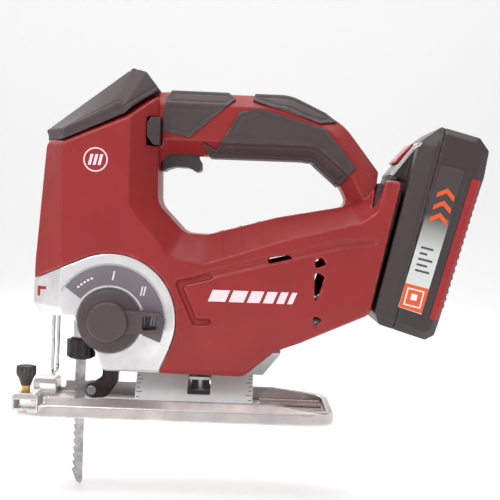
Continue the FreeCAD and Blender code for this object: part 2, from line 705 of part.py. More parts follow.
pack_shell = cut(pack_blank(0), pack_blank(val("battery_wall")))
hood = slab([(3, 70.6), (3, 90), (0.8, 90.8), (-8.2, 71.6), (-7.8, 70.6)], 38, "XZ", -19)
button_room = box(18, 29.2, 12.4, -12, -14.6, 78.6)
tongue = fuse(box(5.2, 36, 65, -4, -18, 5.6), box(3.8, 46, 65, -7.7, -23, 5.6))
contact_slots = [box(3.4, 2.6, 22, -7.5, y - 1.3, 4) for y in (-14, 0, 14)]
front_half = common(pack_shell, box("pack_split+10", 90, 130, -10, -45, -15))
part("battery_front", cut(fuse(front_half, hood, tongue), button_room, *contact_slots), dock)
part("battery_rear", common(pack_shell, box(50, 90, 130, val("pack_split") + 0.05, -45, -15)), dock)
cells = [rod("cell_radius", "cell_length", 21, -31, 9.6 + val("cell_pitch") * k, "Y") for k in range(5)]
part("battery_cells", group(*cells), dock)
cell_rooms = [rod("cell_radius+0.1", 90, 21, -45, 9.6 + val("cell_pitch") * k, "Y") for k in range(5)]
holder = fuse(box(20.8, 4, 94, 10.6, -30, 0), box(20.8, 4, 94, 10.6, 26, 0))
part("cell_holder", cut(holder, *cell_rooms), dock)
part("battery_board", box(1.6, 44, 60, 8.2, -22, 16), dock)
strip = [(28.4, 4), (31, 4.4), (33.2, 66), (34, 79), (31.6, 79), (30.8, 66)]
strips = fuse(slab(strip, 0.6, "XZ", 37.5), slab(strip, 0.6, "XZ", -38.1))
part("battery_strips", strips, dock)
label_outline = [(11.5, 6), (24, 5.2), (26.6, 82, 1), (14, 82, 1)]
labels = fuse(slab(label_outline, 0.3, "XZ", 37.5), slab(label_outline, 0.3, "XZ", -37.8))
part("battery_labels", labels, dock)
button = [(1, 79), (1, 90.6), (-0.6, 90.6, 0.6), (-6.6, 79.8, 0.8), (-6.4, 79)]
part("release_button", slab(button, 28.6, "XZ", -14.3), dock)

# ---------------------------------------------------------------- wire guard at the nose


def wire_guard():
    """Bent wire in front of the blade: two legs and a cross bar."""
    low = 18.0
    bend = 4.0
    reach = 8.6
    centre = Vector(-68, 0, 0)
    arc = bend * (1 - math.sqrt(0.5))
    path = Part.Wire([
        Part.LineSegment(centre + Vector(0, -reach, 52), centre + Vector(0, -reach, low + bend)).toShape(),
        Part.Arc(centre + Vector(0, -reach, low + bend), centre + Vector(0, -reach + arc, low + arc),
                 centre + Vector(0, -reach + bend, low)).toShape(),
        Part.LineSegment(centre + Vector(0, -reach + bend, low),
                         centre + Vector(0, reach - bend, low)).toShape(),
        Part.Arc(centre + Vector(0, reach - bend, low), centre + Vector(0, reach - arc, low + arc),
                 centre + Vector(0, reach, low + bend)).toShape(),
        Part.LineSegment(centre + Vector(0, reach, low + bend), centre + Vector(0, reach, 52)).toShape(),
    ])
    ring = Part.Wire(Part.makeCircle(1, centre + Vector(0, -reach, 52), Vector(0, 0, -1)))
    wire = doc.addObject("Part::Feature", "Wire")
    wire.Shape = path.makePipeShell([ring], True, True)
    return wire


part("wire_guard", wire_guard())

# ---------------------------------------------------------------- sole


def sole():
    """Cast sole: flat floor, raised flanges along its sides, blade slot and roller cut-out."""
    half = val("sole_length") / 2
    side = val("sole_width") / 2
    plan = [(-half, -side, 9), (half, -side, 14), (half, side, 14), (-half, side, 9)]
    blank = slab(plan, "flange_height", "XY", 0)
    bay = slab([(-half + 3.5, -side + 6.5, 5), (half - 3.5, -side + 6.5, 10),
                (half - 3.5, side - 6.5, 10), (-half + 3.5, side - 6.5, 5)], 20, "XY", val("sole_floor"))
    top = val("flange_height")
    rim = val("rim_height")
    slopes = []
    for hand in (-1, 1):
        wedge = [(hand * (side + 1), rim - 1), (hand * (side + 1), top + 1), (hand * (side - 5.5), top + 1)]
        slopes.append(slab(wedge, 200, "YZ", -100))
    nose_drop = box(60, 100, 20, -half - 44, -50, rim)
    tail = slab([(52, top + 0.01), (84, rim), (90, rim), (90, top + 5), (52, top + 5)], 100, "XZ", -50)
    slot = slab([(-half - 5, -6), (-56, -6), (-56, 6), (-half - 5, 6)], 20, "XY", -5)
    cutout = slab([(-58, -12.5, 4), (-24, -12.5, 2), (-24, 12.5, 2), (-58, 12.5, 4)], 20, "XY", -5)
    key_hole = rod(7, 20, "clamp_x", 0, -5, "Z")
    body = cut(blank, bay, nose_drop, tail, *slopes)
    ribs = fuse(*[box(34, 1.6, 2.4, 44, y - 0.8, 2.6) for y in (-20, -8, 8, 20)])
    front_step = box(22, 90, 20, -92, -45, "sole_floor")
    return cut(fuse(body, ribs), slot, cutout, key_hole, front_step)


part("sole", sole())


def hump():
    """Half-round bracket on the sole, with the curved slot for the clamp screw."""
    solid = common(rod("hump_radius", "hump_length", "hump_front", 0, 0, "X"),
                   box(100, 60, 30, -40, -30, "sole_floor"))
    hollow = rod("hump_radius-hump_wall", "hump_length-5", "hump_front+2.5", 0, 0, "X")
    ring = cut(rod("hump_radius+1", 12, 5.5, 0, 0, "X"), rod("hump_radius-hump_wall-1", 12, 5.5, 0, 0, "X"))
    slot = common(ring, box(30, 60, 30, 0, -30, 12))
    feet = fuse(box(58, 5, 2.4, -20, 24.4, "sole_floor"), box(58, 5, 2.4, -20, -29.4, "sole_floor"))
    return cut(fuse(cut(solid, hollow), feet), slot)


part("bevel_hump", hump())


def fence_block(hand):
    """Clamp block with a flat tunnel for the fence bar."""
    outline = [(-83.6, 3), (-70.2, 3), (-70.2, 10.4), (-71.8, 12), (-82, 12), (-83.6, 10.4)]
    block = slab(outline, "fence_block_wide", "XZ", -38.5 if hand > 0 else 21.5)
    tunnel = box("fence_bar_wide", 40, "fence_bar_thick", -82.4, -20 + 30 * hand, 4.2)
    return cut(block, tunnel)


part("fence_block_left", cut(fence_block(-1), rod(2.3, 12, "knob_x", -30, 7, "Z")))
part("fence_block_right", fence_block(1))
knob = [(0, 0), (2.6, 0, 0.5), (3.4, 3), (5.3, 6.4, 0.8), (5.3, 10.6, 1), (0, 10.6)]
part("fence_knob", turned(knob, "knob_x", -30, 15))
thumb = [(0, 0), (2.25, 0), (2.25, 6.2), (0, 6.2)]
part("fence_screw", turned(thumb, "knob_x", -30, 8.8))

# ---------------------------------------------------------------- check and write

doc.recompute()
faulty = [obj.Name + " " + str(obj.State) for obj in doc.Objects
          if "Invalid" in obj.State or "Error" in obj.State]
for piece in parts:
    shape = piece.Shape
    if shape.isNull() or not shape.isValid() or not shape.Solids:
        faulty.append(piece.Label + " has no valid solid")
if faulty:
    raise SystemExit("\n".join(faulty))
os.makedirs("parts", exist_ok=True)
for piece in parts:
    piece.Shape.exportStep("parts/%s.step" % piece.Label)
print(len(parts), "sub-parts written")
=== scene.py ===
import bpy
import json
import math
from mathutils import Euler, Matrix, Vector
from mathutils.kdtree import KDTree


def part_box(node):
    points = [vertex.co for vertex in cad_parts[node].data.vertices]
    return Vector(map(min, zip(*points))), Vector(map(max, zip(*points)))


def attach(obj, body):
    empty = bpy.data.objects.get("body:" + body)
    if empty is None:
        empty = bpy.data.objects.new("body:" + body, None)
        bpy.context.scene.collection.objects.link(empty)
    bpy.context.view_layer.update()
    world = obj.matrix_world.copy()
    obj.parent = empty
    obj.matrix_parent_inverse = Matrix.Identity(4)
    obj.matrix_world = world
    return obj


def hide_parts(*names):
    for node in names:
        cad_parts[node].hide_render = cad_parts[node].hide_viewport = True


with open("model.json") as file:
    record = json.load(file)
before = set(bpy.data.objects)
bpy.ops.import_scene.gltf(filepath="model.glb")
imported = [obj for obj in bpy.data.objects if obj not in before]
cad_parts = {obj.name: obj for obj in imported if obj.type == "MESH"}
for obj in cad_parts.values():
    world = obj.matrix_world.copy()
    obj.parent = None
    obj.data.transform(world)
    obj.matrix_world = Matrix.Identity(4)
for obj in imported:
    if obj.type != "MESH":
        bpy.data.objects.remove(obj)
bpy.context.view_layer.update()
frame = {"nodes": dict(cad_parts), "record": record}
cadNodes = frame["nodes"]
millimetre = 0.001
print("frame loaded with", len(cadNodes), "nodes")

scene = bpy.context.scene
scene.view_settings.view_transform = "Standard"


# helpers for modelling

def selectOnly(*pieces):
    bpy.ops.object.select_all(action="DESELECT")
    for piece in pieces:
        piece.select_set(True)
    bpy.context.view_layer.objects.active = pieces[0]


def modify(piece, kind, **settings):
    selectOnly(piece)
    modifier = piece.modifiers.new(kind.title(), kind)
    for setting, value in settings.items():
        setattr(modifier, setting, value)
    bpy.ops.object.modifier_apply(modifier=modifier.name)


def edit(piece, mode="FACE"):
    selectOnly(piece)
    bpy.ops.object.mode_set(mode="EDIT")
    bpy.ops.mesh.select_mode(type=mode)
    bpy.ops.mesh.select_all(action="DESELECT")


def pick(piece, test, kind="polygons"):
    # select the faces, edges or vertices that pass a test, from edit mode and back into it
    bpy.ops.object.mode_set(mode="OBJECT")
    for element in getattr(piece.data, kind):
        element.select = bool(test(element))
    bpy.ops.object.mode_set(mode="EDIT")


def leave():
    bpy.ops.object.mode_set(mode="OBJECT")


def settle(piece, name):
    # the place goes into the mesh and the object back to the origin
    piece.name = name
    piece.data.name = name
    selectOnly(piece)
    bpy.ops.object.transform_apply(location=True, rotation=True, scale=True)
    return piece


def copyOf(name, *nodeNames):
    # a merged copy of CAD nodes, to be worked on
    copies = []
    for nodeName in nodeNames:
        copy = bpy.data.objects.new(name, cadNodes[nodeName].data.copy())
        copy.data.materials.clear()
        scene.collection.objects.link(copy)
        copies.append(copy)
    selectOnly(*copies)
    if len(copies) > 1:
        bpy.ops.object.join()
    piece = copies[0]
    edit(piece, "VERT")
    bpy.ops.mesh.select_all(action="SELECT")
    bpy.ops.mesh.remove_doubles(threshold=0.002 * millimetre)
    leave()
    piece.name = name
    return piece


def markEdges(piece, rounds=2):
    # "edge" is positive on ridges and negative in corners, for smoother ridges with a paler painted sheen
    # and corners with darker painted shade
    mesh = piece.data
    points = [vertex.co for vertex in mesh.vertices]
    normals = [vertex.normal for vertex in mesh.vertices]
    bend = [0.0] * len(points)
    shares = [0] * len(points)
    for edge in mesh.edges:
        first, second = edge.vertices
        along = points[second] - points[first]
        turn = (normals[second] - normals[first]).dot(along) / max(along.length_squared, 1e-12)
        for vertex in (first, second):
            bend[vertex] += turn * millimetre
            shares[vertex] += 1
    bend = [value / max(count, 1) for value, count in zip(bend, shares)]
    for _ in range(rounds):
        total = list(bend)
        count = [1] * len(bend)
        for edge in mesh.edges:
            first, second = edge.vertices
            total[first] += bend[second]
            total[second] += bend[first]
            count[first] += 1
            count[second] += 1
        bend = [value / number for value, number in zip(total, count)]
    layer = mesh.attributes.new("edge", "FLOAT", "POINT")
    layer.data.foreach_set("value", bend)


def soften(piece, look):
    # cast and moulded shapes: an even skin, rounded edges, then fewer faces where it is flat
    modify(piece, "REMESH", mode="VOXEL", voxel_size=look["skin"] * millimetre)
    modify(piece, "SMOOTH", factor=0.5, iterations=look["rounding"])
    count = len(piece.data.polygons) * 2
    if count > look["faces"]:
        modify(piece, "DECIMATE", ratio=look["faces"] / count)
    selectOnly(piece)
    bpy.ops.object.shade_smooth()


def borderPoints(source, turn):
    # points close together along the sharp edges of a merged copy
    mesh = source.data
    faces = {}
    for face in mesh.polygons:
        for key in face.edge_keys:
            faces.setdefault(key, []).append(face.normal)
    points = []
    for (first, second), normals in faces.items():
        if len(normals) == 2 and normals[0].angle(normals[1], 0) > turn:
            start, end = mesh.vertices[first].co, mesh.vertices[second].co
            steps = max(1, int((end - start).length / (0.4 * millimetre)))
            points += [start.lerp(end, step / steps) for step in range(steps + 1)]
    return points


def pressBorder(piece, source, look):
    # a fine groove that follows the outline of a pad at one distance from its edge
    points = borderPoints(source, math.radians(look["sharp"]))
    tree = KDTree(len(points))
    for number, point in enumerate(points):
        tree.insert(point, number)
    tree.balance()
    normals = [vertex.normal.copy() for vertex in piece.data.vertices]
    for vertex, normal in zip(piece.data.vertices, normals):
        gap = tree.find(vertex.co)[2] / millimetre
        dip = math.exp(-((gap - look["inside"]) / look["wide"]) ** 2)
        vertex.co -= normal * dip * look["depth"] * millimetre


# the crease climbs towards the rear, the lean grows from one half-width to the other, all in millimetres
skirt = {"slope": 0.14, "crease": 46.8, "rise": 0.137, "from": 20.0, "to": 32.0, "clear": 0.2}


def leanIn(piece, look):
    # below the crease the cheeks lean in towards the sole, and stay clear of its edge as it tilts
    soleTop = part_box("sole")[1]
    swing = math.hypot(soleTop[1], soleTop[2]) / millimetre + look["clear"]
    for vertex in piece.data.vertices:
        x, y, z = vertex.co / millimetre
        below = look["crease"] + look["rise"] * x - z
        share = min(1.0, max(0.0, (abs(y) - look["from"]) / (look["to"] - look["from"])))
        if below > 0 and share > 0:
            leant = abs(y) - look["slope"] * below * share
            edge = math.sqrt(max(0.0, swing ** 2 - z ** 2))
            vertex.co.y = math.copysign(max(leant, min(abs(y), edge)) * millimetre, y)


def take(piece, finish, body, slot, *nodes):
    # hand the finished piece to the frame
    piece.data.materials.clear()
    piece.data.materials.append(finish)
    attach(piece, body)
    if nodes:
        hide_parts(*nodes)
    return piece


# shader maths as expressions

class Value:
    def __init__(self, finish, socket):
        self.finish = finish
        self.socket = socket

    def maths(self, operation, first, second):
        return self.finish.node("ShaderNodeMath", {"operation": operation}, {0: first, 1: second})

    def __add__(self, other):
        return self.maths("ADD", self, other)

    def __sub__(self, other):
        return self.maths("SUBTRACT", self, other)

    def __rsub__(self, other):
        return self.maths("SUBTRACT", other, self)

    def __mul__(self, other):
        return self.maths("MULTIPLY", self, other)

    __radd__ = __add__
    __rmul__ = __mul__


class Finish:
    def __init__(self, name, **constants):
        self.material = bpy.data.materials.new(name)
        self.material.use_nodes = True
        self.tree = self.material.node_tree
        self.shader = self.tree.nodes["Principled BSDF"]
        for socket, value in constants.items():
            self.shader.inputs[socket.replace("_", " ")].default_value = value
        self.place = self.node("ShaderNodeTexCoord", outlet="Object")

    def node(self, kind, settings={}, inputs={}, outlet=0):
        made = self.tree.nodes.new(kind)
        for setting, value in settings.items():
            setattr(made, setting, value)
        for socket, value in inputs.items():
            self.join(made.inputs[socket], value)
        return Value(self, made.outputs[outlet])

    def join(self, socket, value):
        if isinstance(value, Value):
            self.tree.links.new(value.socket, socket)
        else:
            socket.default_value = value

    def set(self, socket, value):
        self.join(self.shader.inputs[socket], value)

    def stretch(self, along, turn=(0, 0, 0)):
        # object coordinates scaled apart, for brushed and rolled metal
        return self.node("ShaderNodeMapping", {}, {"Vector": self.place, "Scale": along, "Rotation": turn})

    def noise(self, size, detail=3.0, roughness=0.5, place=None):
        # size of the pattern in millimetres
        inputs = {"Vector": place or self.place, "Scale": 1000.0 / size, "Detail": detail,
                  "Roughness": roughness}
        return self.node("ShaderNodeTexNoise", {}, inputs)

    def cells(self, size, place=None):
        inputs = {"Vector": place or self.place, "Scale": 1000.0 / size}
        return self.node("ShaderNodeTexVoronoi", {}, inputs)

    def fade(self, value, low, high, bottom=0.0, top=1.0):
        # value from low to high becomes bottom to top, with the ends held
        inputs = {"Value": value, "From Min": low, "From Max": high, "To Min": bottom, "To Max": top}
        return self.node("ShaderNodeMapRange", {}, inputs)

    def blend(self, mask, first, second):
        settings = {"data_type": "RGBA"}
        return self.node("ShaderNodeMix", settings, {0: mask, 6: first, 7: second}, 2)

    def bump(self, height, depth, under=None):
        # depth in millimetres
        inputs = {"Height": height, "Strength": 1.0, "Distance": depth * millimetre}
        if under:
            inputs["Normal"] = under
        return self.node("ShaderNodeBump", {}, inputs)

    def edge(self):
        return self.node("ShaderNodeAttribute", {"attribute_name": "edge"}, {}, "Fac")


def rgb(red, green, blue):
    # screen colour, 0 to 255, as the shader wants it
    return tuple((part / 255 / 12.92 if part < 11 else ((part / 255 + 0.055) / 1.055) ** 2.4)
                 for part in (red, green, blue)) + (1.0,)


def shade(colour, share):
    # the same colour, darker or lighter
    return tuple(part * share for part in colour[:3]) + (1,)


# finishes

def mouldedPlastic(name, body, sheenTone, shadeTone, rough=0.42, grain=0.012, grainSize=0.35, ridges=0.5):
    # spark-textured moulding: fine grain, ridges polished and painted paler as a painted sheen, corners
    # painted darker as painted shade
    finish = Finish(name, IOR=1.47)
    patches = finish.noise(26, 4)
    fine = finish.noise(grainSize, 2)
    edge = finish.edge()
    sheenPatches = finish.fade(finish.noise(3.2, 5, 0.65), 0.42, 0.7)
    # painted sheen: a patchy mask on the ridges, which turns them paler and smoother
    ridgeSheen = finish.fade(edge, 0.10, 0.45) * sheenPatches
    # painted shade: a mask in the corners, which turns them darker and rougher
    corner = finish.fade(edge, -0.10, -0.5)
    tone = finish.blend(finish.fade(patches, 0.35, 0.65), body, shade(body, 0.88))
    tone = finish.blend(ridgeSheen * ridges, tone, sheenTone)
    finish.set("Base Color", finish.blend(corner * 0.45, tone, shadeTone))
    smears = finish.fade(finish.noise(9, 5, 0.6), 0.35, 0.7, -0.05, 0.07)
    finish.set("Roughness", smears + fine * 0.08 + (rough - 0.04) - ridgeSheen * 0.1 + corner * 0.1)
    finish.set("Normal", finish.bump(fine, grain, finish.bump(patches, 0.05)))
    return finish.material


def softTouch(name, body, sheenTone, rough=0.62):
    # rubbery overmould with a leathery pebble, rubbed edges smoother and painted paler as a painted sheen
    finish = Finish(name, IOR=1.5, Sheen_Weight=0.08, Sheen_Roughness=0.5)
    pebble = finish.cells(0.75)
    fine = finish.noise(0.22, 2)
    edge = finish.edge()
    patches = finish.noise(14, 4)
    rub = finish.fade(finish.noise(7, 5, 0.6), 0.45, 0.7)
    shine = finish.fade(edge, 0.08, 0.5) * rub
    tone = finish.blend(finish.fade(patches, 0.3, 0.7), body, shade(body, 1.18))
    # painted sheen: rubbed edges blend towards the paler colour
    finish.set("Base Color", finish.blend(shine * 0.5, tone, sheenTone))
    finish.set("Roughness", fine * 0.1 + (rough - 0.05) - shine * 0.15 + rub * 0.05)
    finish.set("Normal", finish.bump(pebble, 0.05, finish.bump(fine, 0.012)))
    return finish.material


def castMetal(name, body, dull, rough=0.36, metallic=0.75, grain=0.02):
    # lacquered die casting: cast skin, slightly dull patches, a painted highlight on ridges and painted
    # shade in corners
    finish = Finish(name)
    skin = finish.noise(0.6, 4, 0.6)
    patches = finish.noise(18, 5, 0.6)
    edge = finish.edge()
    ridgeSheen = finish.fade(edge, 0.08, 0.4)
    corner = finish.fade(edge, -0.08, -0.45)
    tone = finish.blend(finish.fade(patches, 0.35, 0.7), body, dull)
    # painted highlight: ridges blend towards near white
    tone = finish.blend(ridgeSheen * 0.5, tone, rgb(250, 250, 250))
    # painted shade: corners blend towards a dark copy of the dull colour
    finish.set("Base Color", finish.blend(corner * 0.5, tone, shade(dull, 0.45)))
    finish.set("Metallic", metallic)
    patchy = finish.fade(patches, 0.3, 0.7, rough - 0.05, rough + 0.08)
    finish.set("Roughness", patchy + skin * 0.08 - ridgeSheen * 0.08)
    finish.set("Normal", finish.bump(skin, grain))
    return finish.material


def drawnMetal(name, body, dark, rough=0.3, along=(1, 40, 40), turn=(0, 0, 0), stains=0.5):
    # turned, drawn or rolled metal: fine lines one way, faint stains
    finish = Finish(name, Metallic=1.0)
    lines = finish.noise(6, 3, 0.6, finish.stretch(along, turn))
    stain = finish.noise(5, 5, 0.65)
    tone = finish.blend(finish.fade(stain, 0.42, 0.75) * stains, body, dark)
    finish.set("Base Color", finish.blend(finish.fade(lines, 0.3, 0.7) * 0.25, tone, dark))
    finish.set("Roughness", finish.fade(lines, 0.3, 0.7, rough - 0.06, rough + 0.08)
               + finish.fade(stain, 0.4, 0.8, 0.0, 0.12))
    finish.set("Normal", finish.bump(lines, 0.01))
    return finish.material


def laminated(name):
    # stacked sheets of the armature with varnish
    finish = Finish(name, Coat_Weight=0.3)
    place = finish.node("ShaderNodeSeparateXYZ", {}, {"Vector": finish.place}, "X")
    sheetsPerMetre = 9000
    wave = finish.node("ShaderNodeMath", {"operation": "SINE"}, {0: place * sheetsPerMetre})
    sheets = finish.fade(wave, -1, 1)
    varnish = finish.noise(4, 4)
    bare, soaked = rgb(112, 96, 84), rgb(84, 62, 40)
    finish.set("Base Color", finish.blend(finish.fade(varnish, 0.4, 0.7), bare, soaked))
    finish.set("Metallic", 0.6)
    finish.set("Roughness", finish.fade(varnish, 0.3, 0.7, 0.35, 0.55))
    finish.set("Normal", finish.bump(sheets, 0.05))
    return finish.material


def plainPrint(name, body, rough=0.4):
    # pad-printed ink, a little thin in places
    finish = Finish(name)
    thin = finish.noise(1.4, 4, 0.6)
    finish.set("Base Color", finish.blend(finish.fade(thin, 0.35, 0.8) * 0.35, body, shade(body, 0.75)))
    finish.set("Roughness", finish.fade(thin, 0.3, 0.7, rough, rough + 0.15))
    finish.set("Normal", finish.bump(finish.noise(0.35, 2), 0.008))
    return finish.material


def floorFinish():
    finish = Finish("paleFloor")
    cloud = finish.noise(400, 3)
    finish.set("Base Color", finish.blend(cloud * 0.3, rgb(246, 246, 246), rgb(238, 238, 240)))
    finish.set("Roughness", finish.fade(cloud, 0.3, 0.7, 0.7, 0.8))
    finish.set("Emission Color", finish.blend(cloud * 0.3, rgb(255, 255, 255), rgb(250, 250, 252)))
    finish.set("Emission Strength", 0.22)
    return finish.material


print("making the finishes")
# plastic colours: body, a paler painted sheen for the ridges, a darker painted shade for the corners
redBody = mouldedPlastic("redPlastic", rgb(154, 36, 37), rgb(204, 112, 110), rgb(98, 22, 24))
darkBody = mouldedPlastic("darkPlastic", rgb(64, 54, 55), rgb(112, 100, 101), rgb(40, 33, 34), 0.46)
dialBody = mouldedPlastic("dialPlastic", rgb(84, 70, 71), rgb(116, 104, 106), rgb(44, 36, 38), 0.5,
                          0.02, 0.5)
scaleBody = mouldedPlastic("scalePlastic", rgb(124, 114, 120), rgb(160, 152, 158), rgb(80, 72, 76),
                           0.5, 0.16, 0.8)
redTrim = mouldedPlastic("redTrim", rgb(166, 36, 38), rgb(214, 112, 110), rgb(100, 20, 22), 0.4)
# painted reflection: the pale colour of the strip beside the latch
paleTrim = mouldedPlastic("paleTrim", rgb(214, 210, 208), rgb(240, 238, 236), rgb(150, 146, 146), 0.4)
# soft grip colours: body and a paler painted sheen for rubbed edges
gripBody = softTouch("softGrip", rgb(66, 54, 56), rgb(118, 105, 107))
# casting colours: body and dull patches, whose darker copy is the painted shade in the corners
castCover = castMetal("castCover", rgb(236, 234, 233), rgb(208, 206, 208), 0.34, 0.6)
castPlate = castMetal("castPlate", rgb(206, 198, 195), rgb(174, 167, 165), 0.3, 0.85)
# painted light: the cast hump is made near white and hardly metallic, so that in the shade under the
# housing it still looks brightly lit
castWhite = castMetal("castWhite", rgb(250, 250, 249), rgb(236, 236, 237), 0.4, 0.05)
castGrey = castMetal("castGrey", rgb(218, 218, 218), rgb(190, 190, 192), 0.4, 0.45)
brightSteel = drawnMetal("brightSteel", rgb(206, 208, 212), rgb(150, 150, 154))
wireSteel = drawnMetal("wireSteel", rgb(222, 224, 228), rgb(160, 160, 166), 0.2, (40, 40, 1))
darkSteel = drawnMetal("darkSteel", rgb(84, 76, 78), rgb(50, 44, 46), 0.4, (40, 40, 1))
gearSteel = drawnMetal("gearSteel", rgb(170, 170, 174), rgb(108, 106, 108), 0.34)
bladeSteel = drawnMetal("bladeSteel", rgb(196, 194, 198), rgb(120, 112, 112), 0.3, (60, 60, 3), stains=0.8)
brassScrew = drawnMetal("brassScrew", rgb(222, 178, 98), rgb(150, 108, 52), 0.26, (40, 40, 4))
bronzeBush = drawnMetal("bronzeBush", rgb(186, 140, 84), rgb(120, 84, 46), 0.45)
copperParts = drawnMetal("copperParts", rgb(214, 140, 96), rgb(140, 76, 48), 0.28)
zincCan = drawnMetal("zincCan", rgb(198, 202, 210), rgb(140, 146, 158), 0.38, (1, 4, 4))
armatureStack = laminated("armatureStack")
cellWrap = mouldedPlastic("cellWrap", rgb(60, 160, 130), rgb(120, 200, 180), rgb(30, 100, 80), 0.25)
boardGreen = mouldedPlastic("boardGreen", rgb(28, 104, 58), rgb(90, 150, 100), rgb(16, 60, 34), 0.3)
palePrint = plainPrint("palePrint", rgb(246, 226, 232))
whitePrint = plainPrint("whitePrint", rgb(240, 238, 242))
darkPrint = plainPrint("darkPrint", rgb(84, 76, 78))
redPrint = plainPrint("redPrint", rgb(168, 30, 40))

# softened pieces: the nodes each stands for, its body, finish, slot, skin in millimetres, rounding passes
# and how many faces it keeps
softenedPieces = {
    "nearHousing": (["housing_left"], "tool", redBody, "red_plastic", 0.62, 5, 150000),
    "farHousing": (["housing_right"], "tool", redBody, "red_plastic", 0.62, 5, 150000),
    "nearCover": (["gear_cover_left"], "tool", castCover, "cast_cover", 0.45, 4, 60000),
    "farCover": (["gear_cover_right"], "tool", castCover, "cast_cover", 0.45, 4, 60000),
    "nosePad": (["nose_pad"], "tool", gripBody, "soft_grip", 0.55, 6, 50000),
    "nearGrip": (["grip_left"], "tool", gripBody, "soft_grip", 0.34, 3, 60000),
    "farGrip": (["grip_right"], "tool", gripBody, "soft_grip", 0.34, 3, 60000),
    "crestGrip": (["grip_crest"], "tool", gripBody, "soft_grip", 0.34, 3, 40000),
    "dialKnob": (["orbit_dial"], "dial", dialBody, "dial_plastic", 0.3, 4, 60000),
    "triggerLever": (["trigger"], "trigger", darkBody, "dark_plastic", 0.32, 5, 30000),
    "lockKey": (["lock_button"], "lock_button", darkBody, "dark_plastic", 0.25, 4, 16000),
    "packFront": (["battery_front"], "battery", darkBody, "dark_plastic", 0.55, 4, 90000),
    "packRear": (["battery_rear"], "battery", darkBody, "dark_plastic", 0.55, 5, 70000),
    "packRelease": (["release_button"], "release_button", redTrim, "red_trim", 0.3, 5, 20000),
    "solePlate": (["sole"], "sole", castPlate, "cast_aluminium", 0.5, 3, 110000),
    "tiltHump": (["bevel_hump"], "sole", castWhite, "cast_aluminium", 0.4, 3, 60000),
    "nearFenceBlock": (["fence_block_left"], "sole", castPlate, "cast_aluminium", 0.22, 3, 24000),
    "farFenceBlock": (["fence_block_right"], "sole", castPlate, "cast_aluminium", 0.22, 3, 24000),
    "rollerArm": (["pendulum_arm"], "arm", darkSteel, "steel", 0.25, 3, 30000),
    "tiltFoot": (["bevel_foot"], "tool", castGrey, "cast_aluminium", 0.5, 3, 40000),
    "packDock": (["battery_dock"], "tool", darkBody, "dark_plastic", 0.5, 3, 50000),
}
# a groove inside each pad: the turn of a sharp edge in degrees, the rest in millimetres
gripBorder = {"sharp": 35, "inside": 2.3, "wide": 0.5, "depth": 0.55}
padBorders = {
    "nearGrip": gripBorder,
    "farGrip": gripBorder,
    "crestGrip": gripBorder,
    "nosePad": {"sharp": 50, "inside": 2.4, "wide": 0.5, "depth": 0.4},
}
made = {}
for pieceName, (nodes, body, finish, slot, skin, rounding, faces) in softenedPieces.items():
    piece = copyOf(pieceName, *nodes)
    source = copyOf("source", *nodes) if pieceName in padBorders else None
    soften(piece, {"skin": skin, "rounding": rounding, "faces": faces})
    if source:
        pressBorder(piece, source, padBorders[pieceName])
        bpy.data.objects.remove(source)
    if pieceName in ("nearHousing", "farHousing", "nearCover", "farCover"):
        leanIn(piece, skirt)
    markEdges(piece)
    made[pieceName] = take(piece, finish, body, slot, *nodes)
    print(pieceName, len(piece.data.polygons), "faces")


# printed and moulded details, laid on the surfaces under them

underHandle = 118  # where marks from above start, under the handle
besideTool = 60  # and where marks from the side start


def flatQuad(corners, height, plane):
    # one four-cornered patch, drawn in x and z from the side or in x and y from above
    bpy.ops.object.select_all(action="DESELECT")
    bpy.ops.mesh.primitive_plane_add(size=1)
    patch = bpy.context.object
    order = (0, 1, 3, 2)
    for number, (across, up) in zip(order, corners):
        spot = (across, height, up) if plane == "side" else (across, up, height)
        patch.data.vertices[number].co = Vector(spot) * millimetre
    return patch


def join(name, parts):
    selectOnly(*parts)
    if len(parts) > 1:
        bpy.ops.object.join()
    return settle(parts[0], name)


def layOn(name, quads, target, plane="side", far=False, thick=0.12, cuts=5):
    # the patches fall on the target along Y or Z, take its shape, and get a thickness
    side = 1 if far else -1
    height = besideTool * side if plane == "side" else underHandle
    sheet = join(name, [flatQuad(corners, height, plane) for corners in quads])
    edit(sheet)
    bpy.ops.mesh.select_all(action="SELECT")
    bpy.ops.mesh.subdivide(number_cuts=cuts)
    leave()
    downward = plane == "above" or far
    modify(sheet, "SHRINKWRAP", wrap_method="PROJECT", target=target, use_project_y=plane == "side",
           use_project_z=plane == "above", use_negative_direction=downward,
           use_positive_direction=not downward, offset=0.01 * millimetre)
    across = 1 if plane == "side" else 2
    edit(sheet, "VERT")
    pick(sheet, lambda vertex: abs(vertex.co[across] - height * millimetre) < millimetre, "vertices")
    bpy.ops.mesh.delete(type="VERT")
    bpy.ops.mesh.select_all(action="SELECT")
    bpy.ops.mesh.normals_make_consistent(inside=False)
    leave()
    facing = sum((face.normal * face.area for face in sheet.data.polygons), Vector())
    outward = Vector((0, side, 0)) if plane == "side" else Vector((0, 0, 1))
    if facing.dot(outward) < 0:
        edit(sheet)
        bpy.ops.mesh.select_all(action="SELECT")
        bpy.ops.mesh.flip_normals()
        leave()
    modify(sheet, "SOLIDIFY", thickness=thick * millimetre, offset=1.0)
    return sheet


def slanted(x, z, wide, high, lean):
    # the corners of an upright stroke whose top leans over
    return [(x, z), (x + wide, z), (x + wide + lean, z + high), (x + lean, z + high)]


def ringQuads(x, z, inner, outer, start, end, count):
    # patches round an arc, in degrees
    quads = []
    for step in range(count):
        first = math.radians(start + (end - start) * step / count)
        last = math.radians(start + (end - start) * (step + 1) / count)
        quads.append([(x + radius * math.cos(angle), z + radius * math.sin(angle))
                      for radius, angle in ((inner, first), (outer, first), (outer, last), (inner, last))])
    return quads


